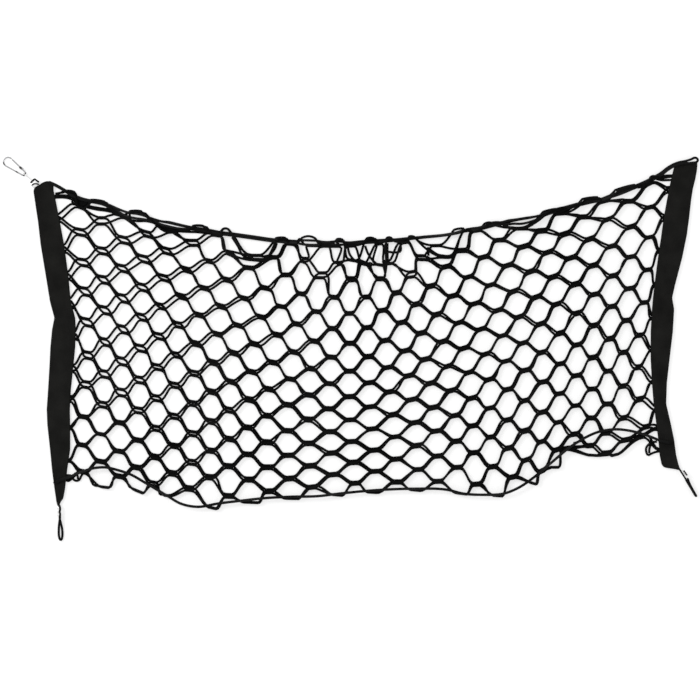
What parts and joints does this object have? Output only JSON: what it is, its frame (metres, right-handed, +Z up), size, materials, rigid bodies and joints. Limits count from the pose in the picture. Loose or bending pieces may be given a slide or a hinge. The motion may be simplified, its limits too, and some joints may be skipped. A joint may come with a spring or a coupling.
{
  "type": "pet barrier net",
  "caption": "Stretchy mesh barrier net lying flat, with dark cloth side bands, a doubled top rope, a bottom cord, a small carabiner and cord loops.",
  "frame": {"origin": "on the floor, under the middle of the box that holds everything but the two cord loops", "axes": "+X along the net to its right side, +Y to its top edge with the rope, +Z up from the floor it lies on"},
  "size_m": [1.0415, 0.5759, 0.0083],
  "materials": {
    "mesh_cord": "black braided elastic",
    "band_cloth": "matt black woven cloth",
    "rope_cord": "black braided elastic",
    "loop_cord": "black braided elastic",
    "bright_steel": "bright",
    "crimp_steel": "satin"
  },
  "bodies": {
    "net": {"net": "mesh_cord", "left_band": "band_cloth", "right_band": "band_cloth", "top_rope": "rope_cord", "bottom_cord": "rope_cord", "top_left_crimp": "crimp_steel", "bottom_left_crimp": "crimp_steel", "bottom_right_crimp": "crimp_steel", "bottom_left_loop": "loop_cord", "bottom_right_loop": "loop_cord", "hook_eye": "bright_steel", "carabiner_body": "bright_steel"},
    "gate": {"carabiner_gate": "bright_steel"}
  },
  "joints": [
    {"name": "gate_swing", "type": "hinge", "parent": "net", "child": "gate", "pos_m": [-0.49381, 0.25293, 0.00255], "axis": [-0.0449, 0.0332, 0.9984], "range_deg": [0, 30], "stiffness_Nm_per_rad": 0.05, "springref_deg": -11.46}
  ]
}
